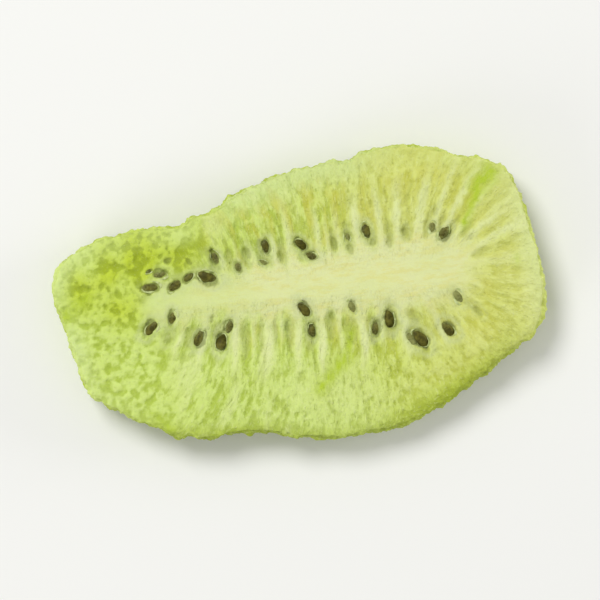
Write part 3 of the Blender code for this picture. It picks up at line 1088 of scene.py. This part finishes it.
def flesh_material():
    n = Nodes("kiwi flesh", roughness=0.9)
    place = n.place()
    fine = n.noise(place, scale=3.2, detail=3.0)
    grain = n.noise(place, scale=8.0)
    fibre = n.ray_noise(scale=5.5)
    strands = n.noise(n.field("strands", "Vector"), scale=1.0, detail=3.0, roughness=0.7)
    open_cells, pores = flesh_pores(n, place, fine, grain)
    color = flesh_color(n, fine, grain, fibre, strands, open_cells, pores)
    n.link(color, n.shader.inputs["Base Color"])

    rough = n.noise(place, scale=4.0, detail=4.0, roughness=0.68)
    combed_rough = n.product(n.ray_noise(scale=3.0, detail=4.0, roughness=0.7), n.field("comb"))
    bump = n.bump(n.product(open_cells, -1.0), distance=0.09, strength=0.6)
    bump = n.bump(n.product(pores, -1.0), distance=0.09, strength=0.5, Normal=bump)
    bump = n.bump(rough, distance=0.09, strength=0.6, Normal=bump)
    bump = n.bump(combed_rough, distance=0.2, strength=0.6, Normal=bump)
    bump = n.bump(n.product(strands, n.field("core")), distance=0.08, strength=0.6, Normal=bump)
    bump = n.bump(n.product(fibre, n.field("comb")), distance=0.12, strength=0.6, Normal=bump)
    n.link(bump, n.shader.inputs["Normal"])
    n.shader.inputs["Subsurface Weight"].default_value = 0.12
    n.shader.inputs["Subsurface Radius"].default_value = (0.9, 1.0, 0.35)
    n.shader.inputs["Subsurface Scale"].default_value = 0.5 * METRES
    n.shader.inputs["Specular IOR Level"].default_value = 0.2
    return n.material


def seed_material():
    n = Nodes("kiwi seed", roughness=0.5)
    place = n.place()
    color = n.mix(n.span(n.noise(place, scale=1.6), 0.35, 0.7), SEED_DARK, SEED_LIGHT)
    dusty = n.math("ADD", n.field("dust"), n.swing(n.noise(place, scale=5.0, detail=3.0), 0.8))
    color = n.mix(n.span(dusty, 0.3, 1.0, to_high=0.85), color, SEED_DUST)
    n.link(color, n.shader.inputs["Base Color"])
    pitted = n.bump(n.voronoi(place, 5.5, "DISTANCE_TO_EDGE"), distance=0.05, strength=0.5)
    grained = n.bump(n.noise(place, scale=9.0), distance=0.04, strength=0.4, Normal=pitted)
    n.link(grained, n.shader.inputs["Normal"])
    n.shader.inputs["Specular IOR Level"].default_value = 0.12
    return n.material


def film_material():
    n = Nodes("kiwi film", roughness=0.7)
    place = n.place()
    shade = n.span(n.noise(place, scale=2.5), 0.35, 0.65)
    n.link(n.mix(shade, FILM_DARK, FILM_LIGHT), n.shader.inputs["Base Color"])
    grained = n.bump(n.noise(place, scale=8.0), distance=0.05, strength=0.5)
    n.link(grained, n.shader.inputs["Normal"])
    return n.material


# ---------------- seed pieces


SEED_DRAW_TOP = 5
SEED_DRAW_UNDER = 6
SEED_SEGMENTS = 20
SEED_RINGS = 14

# How much a seed's bed is levelled, how far it is tilted at random, and how high it lies, in thicknesses
SEED_LEVELLING = 2.0
SEED_TILT = 0.25
SEED_RISE = 0.2
SEED_SINK = 0.5

# Rays that look for the surface start this far above or below it.
CAST_FROM = 30.0


def seed_shape(shape, place, length, outward, normal, dent):
    """Add one flattened, slightly dented teardrop, its tip towards the core."""
    ball = bmesh.ops.create_uvsphere(shape, u_segments=SEED_SEGMENTS, v_segments=SEED_RINGS, radius=0.5)
    side = normal.cross(outward).normalized()
    for vertex in ball["verts"]:
        bulge = 1.0 + 0.16 * noise.noise(vertex.co * 2.6 + Vector((dent, 0.0, 0.0)))
        along, across, thick = vertex.co.z * bulge, vertex.co.x * bulge, vertex.co.y * bulge
        narrow = 1.0 - 0.35 * max(0.5 - along, 0.0) ** 1.5
        vertex.co = (
            place
            + outward * (along * length)
            + side * (across * length * SEED_WIDTH_SHARE * narrow)
            + normal * (thick * length * SEED_THICKNESS_SHARE * narrow)
        )
    return ball["verts"]


def new_piece(name, shape):
    """An object made from a finished bmesh."""
    bmesh.ops.recalc_face_normals(shape, faces=shape.faces)
    mesh = bpy.data.meshes.new(name)
    shape.to_mesh(mesh)
    shape.free()
    return new_object(name, mesh)


def lay_seeds(name, seeds, surface, up, draw):
    """Lay the seeds in their pits, on the upper face if up is 1 and on the lower one if it is -1."""
    shape = bmesh.new()
    dust = shape.verts.layers.float.new("dust")
    for x, y, length, depth, lean in seeds:
        hit, normal, _, _ = surface.ray_cast(Vector((x, y, CAST_FROM * up)), Vector((0.0, 0.0, -up)))
        if hit is None or depth > HIDDEN_SEED:
            continue
        normal = (normal + Vector((0.0, 0.0, SEED_LEVELLING * up))).normalized()
        outward = lean_direction(x, y, lean)
        outward = (outward - normal * outward.dot(normal)).normalized()
        outward = (outward + normal * draw.uniform(-SEED_TILT, SEED_TILT)).normalized()
        normal = (normal - outward * normal.dot(outward)).normalized()
        thickness = length * SEED_THICKNESS_SHARE
        middle = hit + normal * thickness * (SEED_RISE - SEED_SINK * depth)
        for vertex in seed_shape(shape, middle, length, outward, normal, scatter(x, y)):
            height = (vertex.co - middle).dot(normal) / (0.5 * thickness)
            vertex[dust] = min(max(0.9 * depth + 0.5 * (0.85 - height), 0.0), 1.0)
    return new_piece(name, shape)


# ---------------- dried films over the seeds


FILM_DRAW = 15
FILM_STEPS = 12
FILM_SIDES = 8
FILM_SHARE = 0.75

# Angle that a film spans round its seed, how far the second one starts from the first, how far out it lies in
# half lengths of the seed, its half width in millimetres and how flat it is
FILM_SPAN = (1.3, 2.9)
FILM_OPPOSITE = (2.6, 3.6)
FILM_REACH = (0.90, 1.14)
FILM_HALF_WIDTH = (0.07, 0.15)
FILM_THICKNESS_SHARE = 0.5


def tree_of(pieces):
    """One search tree for the surfaces of several pieces."""
    corners, faces = [], []
    for piece in pieces:
        first = len(corners)
        corners += [vertex.co.copy() for vertex in piece.data.vertices]
        faces += [tuple(first + index for index in polygon.vertices) for polygon in piece.data.polygons]
    return BVHTree.FromPolygons(corners, faces)


def film_path(seed, start, span, reach, surface):
    """Points of one film along a seed's rim, draped over whatever lies under it and let in at both ends."""
    x, y, length, _, lean = seed
    out = 0.5 * reach * length * lean_direction(x, y, lean)
    side = SEED_WIDTH_SHARE * Vector((-out.y, out.x, 0.0))
    path, heights = [], []
    for step in range(FILM_STEPS + 1):
        turn = start + span * step / FILM_STEPS
        stray = 1.0 + 0.14 * noise.noise(Vector((x, y, 1.1 * turn)))
        place = Vector((x, y, 0.0)) + (out * math.cos(turn) + side * math.sin(turn)) * stray
        hit = surface.ray_cast(Vector((place.x, place.y, CAST_FROM)), Vector((0.0, 0.0, -1.0)))[0]
        if hit is None:
            return []
        path.append(place)
        heights.append(hit.z)
    for step, place in enumerate(path):
        highest = max(heights[max(step - 1, 0) : step + 2])
        end = abs(2.0 * step / FILM_STEPS - 1.0) ** 3
        place.z = highest * (1.0 - end) + (heights[step] - 0.10) * end
    return path


def add_film(shape, path, half_width, draw):
    """A flattened, uneven tube along the path, thinned towards both ends."""
    rings = []
    wave = draw.uniform(0.0, 6.0)
    for step, place in enumerate(path):
        along = (path[min(step + 1, len(path) - 1)] - path[max(step - 1, 0)]).normalized()
        side = along.cross(Vector((0.0, 0.0, 1.0))).normalized()
        up = side.cross(along)
        share = 2.0 * step / FILM_STEPS - 1.0
        width = half_width * (0.15 + 0.85 * (1.0 - share * share))
        width *= 1.0 + 0.3 * math.sin(wave + 5.0 * share)
        ring = []
        for corner in range(FILM_SIDES):
            turn = 2.0 * math.pi * corner / FILM_SIDES
            offset = side * (width * math.cos(turn)) + up * (FILM_THICKNESS_SHARE * width * math.sin(turn))
            ring.append(shape.verts.new(place + offset))
        rings.append(ring)
    for near, far in zip(rings, rings[1:]):
        for corner in range(FILM_SIDES):
            after = (corner + 1) % FILM_SIDES
            shape.faces.new((near[corner], near[after], far[after], far[corner]))
    shape.faces.new(rings[0][::-1])
    shape.faces.new(rings[-1])


def lay_films(seeds, surface):
    """Pale dried films along the rims of the seeds that show, up to two for each."""
    draw = random.Random(FILM_DRAW)
    shape = bmesh.new()
    for seed in seeds:
        start = draw.uniform(0.0, 2.0 * math.pi)
        for turn in (start, start + draw.uniform(*FILM_OPPOSITE)):
            span = draw.uniform(*FILM_SPAN)
            reach = draw.uniform(*FILM_REACH)
            half_width = draw.uniform(*FILM_HALF_WIDTH)
            if seed[3] > HIDDEN_SEED or draw.random() > FILM_SHARE:
                continue
            path = film_path(seed, turn, span, reach, surface)
            if path:
                add_film(shape, path, half_width, draw)
    return new_piece("films", shape)


# ---------------- stage, in metres


FLOOR_SIZE = 6.0
WORLD_STRENGTH = 0.45

# Camera: straight above, turned so that the core rises to the right as it does in the photograph.
CAMERA_HEIGHT = 0.45
CAMERA_LENS = 236.0
CAMERA_SENSOR = 36.0
CAMERA_CLIP = (0.01, 20.0)
CAMERA_ROLL = math.radians(-7.1)

# Round lights that shine at the slice: name, place, size and watts. The low one on the right lights that rim.
LIGHTS = (
    ("key", (-0.32, 0.5, 0.82), 0.45, 6.0),
    ("fill", (-0.55, -0.42, 0.24), 0.4, 1.15),
    ("rim", (0.62, 0.05, 0.14), 0.3, 1.4),
)


def make_floor():
    bpy.ops.mesh.primitive_grid_add(x_subdivisions=2, y_subdivisions=2, size=FLOOR_SIZE)
    floor = bpy.context.object
    floor.name = "floor"
    look = Nodes("floor", roughness=0.7)
    look.shader.inputs["Base Color"].default_value = FLOOR
    floor.data.materials.append(look.material)


def make_light(name, place, size, watts):
    light = bpy.data.lights.new(name, "AREA")
    light.shape = "DISK"
    light.size = size
    light.energy = watts
    lamp = new_object(name, light)
    lamp.location = place
    lamp.rotation_mode = "QUATERNION"
    lamp.rotation_quaternion = (-Vector(place)).to_track_quat("-Z", "Y")


def make_world():
    world = bpy.data.worlds.new("studio")
    world.use_nodes = True
    background = world.node_tree.nodes["Background"]
    background.inputs["Color"].default_value = (1.0, 1.0, 1.0, 1.0)
    background.inputs["Strength"].default_value = WORLD_STRENGTH
    bpy.context.scene.world = world


def make_camera():
    lens = bpy.data.cameras.new("camera")
    lens.lens = CAMERA_LENS
    lens.sensor_width = CAMERA_SENSOR
    lens.clip_start, lens.clip_end = CAMERA_CLIP
    camera = new_object("camera", lens)
    camera.location = (0.0, 0.0, CAMERA_HEIGHT)
    camera.rotation_euler = (0.0, 0.0, CAMERA_ROLL)
    bpy.context.scene.camera = camera


def make_stage():
    make_floor()
    make_world()
    for light in LIGHTS:
        make_light(*light)
    make_camera()
    bpy.context.scene.view_settings.view_transform = "Standard"


# ---------------- build


def build():
    flesh = base_mesh()
    shape_flesh(flesh)
    surface = tree_of([flesh])
    flesh.data.materials.clear()
    flesh.data.materials.append(flesh_material())
    seeds = [
        lay_seeds("seeds_top", SEEDS, surface, 1.0, random.Random(SEED_DRAW_TOP)),
        lay_seeds("seeds_under", UNDER_SEEDS, surface, -1.0, random.Random(SEED_DRAW_UNDER)),
    ]
    films = lay_films(SEEDS, tree_of([flesh, seeds[0]]))
    films.data.materials.append(film_material())
    seed_look = seed_material()
    for piece in seeds:
        piece.data.materials.append(seed_look)
    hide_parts(NODE)
    for piece in [flesh, films, *seeds]:
        finish_mesh(piece)
        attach(piece, "root")


build()
make_stage()
